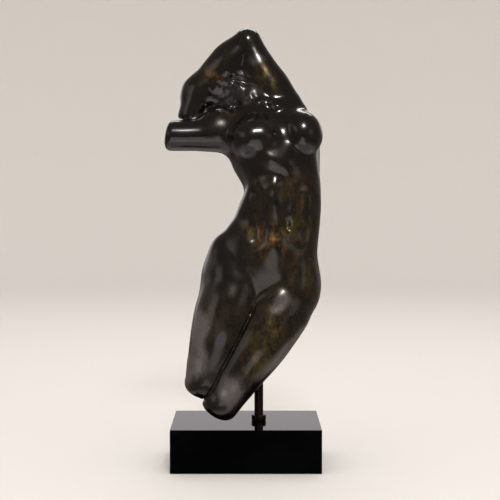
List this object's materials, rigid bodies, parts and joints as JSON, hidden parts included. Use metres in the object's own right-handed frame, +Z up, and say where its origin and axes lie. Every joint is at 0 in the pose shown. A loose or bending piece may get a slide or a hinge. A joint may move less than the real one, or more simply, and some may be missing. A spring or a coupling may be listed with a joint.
{
  "type": "bronze torso sculpture",
  "caption": "Dark bronze headless female torso, one arm folded overhead and one a stump, legs ending at the knees, on a rod above a black block plinth.",
  "frame": {"origin": "middle of the plinth's underside", "axes": "+Z up, the figure's front towards -Y, +X to the right of a viewer in front"},
  "size_m": [0.1599, 0.11, 0.4442],
  "materials": {
    "bronze": "cast bronze, near-black brown patina under gloss wax, rubbed through to gold green and orange",
    "dark_steel": "blackened steel, smooth and fairly glossy",
    "black_stone": "polished black stone"
  },
  "bodies": {
    "root": {"torso": "bronze", "mounting_rod": "dark_steel", "rod_collar": "dark_steel", "plinth": "black_stone"}
  },
  "joints": []
}
